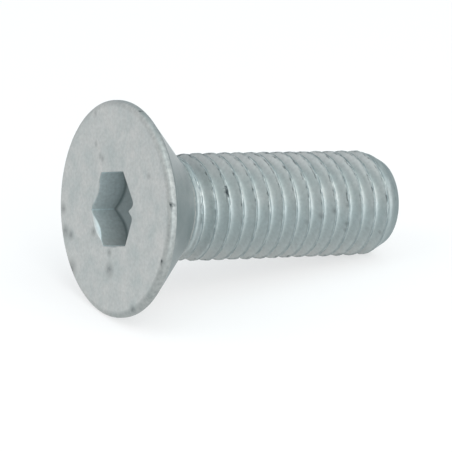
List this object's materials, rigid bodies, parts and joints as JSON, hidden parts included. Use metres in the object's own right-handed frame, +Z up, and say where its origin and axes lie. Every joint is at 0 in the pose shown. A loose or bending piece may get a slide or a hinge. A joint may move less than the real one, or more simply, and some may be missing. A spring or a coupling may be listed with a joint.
{
  "type": "countersunk socket screw",
  "caption": "Flat countersunk machine screw with a hexagon socket and a right-hand thread up to its head, for clamping parts flush into a tapped hole.",
  "frame": {"origin": "on the ground, at the middle of the box round the screw as it lies", "axes": "+X along the ground from head to tip, +Z up; the screw's own axis falls from head to tip by about 10.5 degrees"},
  "size_m": [0.0368, 0.0234, 0.0231],
  "materials": {
    "zinc_plated_steel": "satin electroplated zinc over cold-headed, thread-rolled steel, lightly scuffed"
  },
  "bodies": {
    "root": {"screw": "zinc_plated_steel"}
  },
  "joints": []
}
